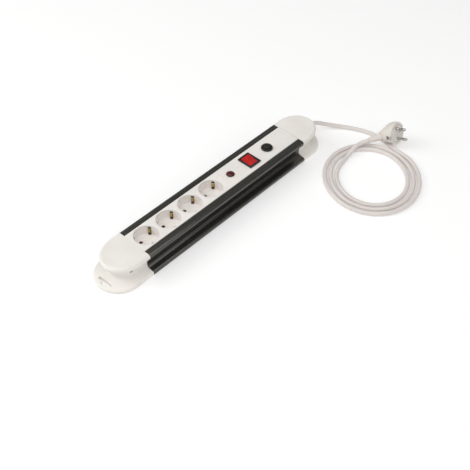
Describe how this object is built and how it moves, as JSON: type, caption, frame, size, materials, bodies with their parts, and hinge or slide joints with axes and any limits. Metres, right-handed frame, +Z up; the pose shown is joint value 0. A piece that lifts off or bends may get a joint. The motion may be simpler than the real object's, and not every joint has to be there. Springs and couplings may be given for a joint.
{
  "type": "desk power strip",
  "caption": "Desk power strip: black aluminium profile, white face with turned earthed sockets, lamp, rocker switch and reset breaker, rounded end caps, coiled mains cord with angled plug.",
  "frame": {"origin": "centre of the strip's underside, midway between the tips of its two end caps, on the desk", "axes": "+X along the strip towards the end cap with the mains cord, +Y across the strip, +Z up out of the socket face"},
  "size_m": [0.5836, 0.2751, 0.0456],
  "materials": {
    "black_aluminium": "satin black anodised extrusion with fine draw lines",
    "cap_white": "fine-grained satin moulding",
    "face_white": "smooth satin-gloss moulding",
    "socket_white": "smooth satin-gloss moulding",
    "clip_brass": "rolled spring brass",
    "bar_brass": "stamped brass",
    "insulator": "natural nylon",
    "switch_black": "satin black moulding",
    "rocker_red": "translucent red moulding, glossy",
    "lamp_red": "dark red translucent lens, polished",
    "breaker_black": "satin black moulding",
    "screw_steel": "zinc plated",
    "board_green": "lacquered circuit board",
    "varistor_blue": "dipped epoxy",
    "wire_brown": "smooth wire insulation",
    "wire_blue": "smooth wire insulation",
    "wire_earth": "green and yellow wire insulation",
    "cord_white": "soft white cord sheath, slightly satin",
    "plug_white": "soft white moulding, slightly warm",
    "pin_nickel": "nickel plated brass, satin"
  },
  "bodies": {
    "strip": {"aluminium_profile": "black_aluminium", "end_cap_hanger": "cap_white", "end_cap_cord": "cap_white", "face_plate": "face_white", "socket_well_1": "socket_white", "socket_well_2": "socket_white", "socket_well_3": "socket_white", "socket_well_4": "socket_white", "earth_clip_1": "clip_brass", "earth_clip_2": "clip_brass", "earth_clip_3": "clip_brass", "earth_clip_4": "clip_brass", "line_busbar": "bar_brass", "neutral_busbar": "bar_brass", "earth_busbar": "bar_brass", "switch_terminal_1": "bar_brass", "switch_terminal_2": "bar_brass", "switch_terminal_3": "bar_brass", "switch_terminal_4": "bar_brass", "breaker_terminal_1": "bar_brass", "breaker_terminal_2": "bar_brass", "contact_carrier": "insulator", "cord_clamp": "insulator", "lamp_barrel": "insulator", "lamp_nut": "insulator", "switch_housing": "switch_black", "lamp_lens": "lamp_red", "breaker_body": "breaker_black", "breaker_collar": "breaker_black", "breaker_nut": "screw_steel", "cap_screw_hanger_1": "screw_steel", "cap_screw_hanger_2": "screw_steel", "cap_screw_cord_1": "screw_steel", "cap_screw_cord_2": "screw_steel", "clamp_screw_1": "screw_steel", "clamp_screw_2": "screw_steel", "surge_board": "board_green", "surge_varistor_1": "varistor_blue", "surge_varistor_2": "varistor_blue", "surge_varistor_3": "varistor_blue", "wire_line_to_breaker": "wire_brown", "wire_breaker_to_switch": "wire_brown", "wire_switch_to_line_bar": "wire_brown", "wire_neutral_to_switch": "wire_blue", "wire_switch_to_neutral_bar": "wire_blue", "wire_earth_to_bar": "wire_earth", "cord_gland": "cord_white", "cord_sheath": "cord_white", "mains_cord": "cord_white", "plug_body": "plug_white", "plug_insert": "plug_white", "plug_relief": "plug_white", "plug_pin_1": "pin_nickel", "plug_pin_2": "pin_nickel", "plug_earth_contact_1": "pin_nickel", "plug_earth_contact_2": "pin_nickel"},
    "rocker": {"switch_rocker": "rocker_red"},
    "button": {"breaker_button": "breaker_black"}
  },
  "joints": [
    {"name": "rocker_tilt", "type": "hinge", "parent": "strip", "child": "rocker", "pos_m": [0.08265, 0, 0.0387], "axis": [-1, 0, 0], "range_deg": [0, 16]},
    {"name": "button_travel", "type": "slide", "parent": "strip", "child": "button", "axis": [0, 0, 1], "range_m": [0, 0.003]}
  ]
}
